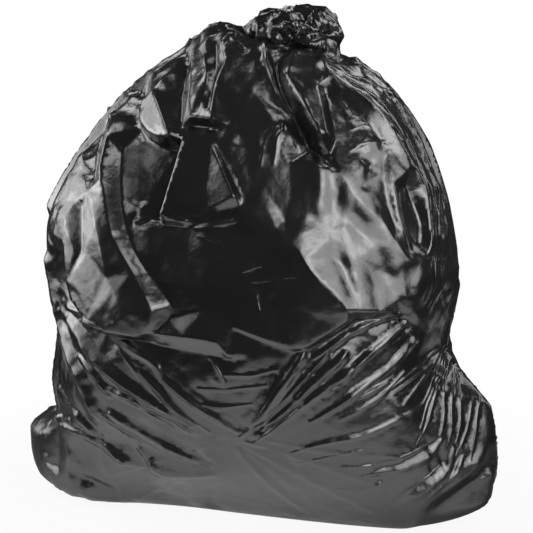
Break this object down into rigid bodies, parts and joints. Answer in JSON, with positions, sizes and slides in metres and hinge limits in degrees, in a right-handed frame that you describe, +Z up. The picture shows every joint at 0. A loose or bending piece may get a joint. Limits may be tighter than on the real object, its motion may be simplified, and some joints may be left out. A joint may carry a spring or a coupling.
{
  "type": "filled refuse sack",
  "caption": "Filled refuse sack of black plastic film, gathered and tied at the top, with creased sides and its bottom corners standing out as ears.",
  "frame": {"origin": "centre of the base on the floor", "axes": "+Z up to the tied knot, -Y towards the side that the picture shows, X along the film's bottom seam from ear to ear"},
  "size_m": [0.6724, 0.3864, 0.6944],
  "materials": {
    "film": "gloss"
  },
  "bodies": {
    "root": {"refuse_sack": "film"}
  },
  "joints": []
}
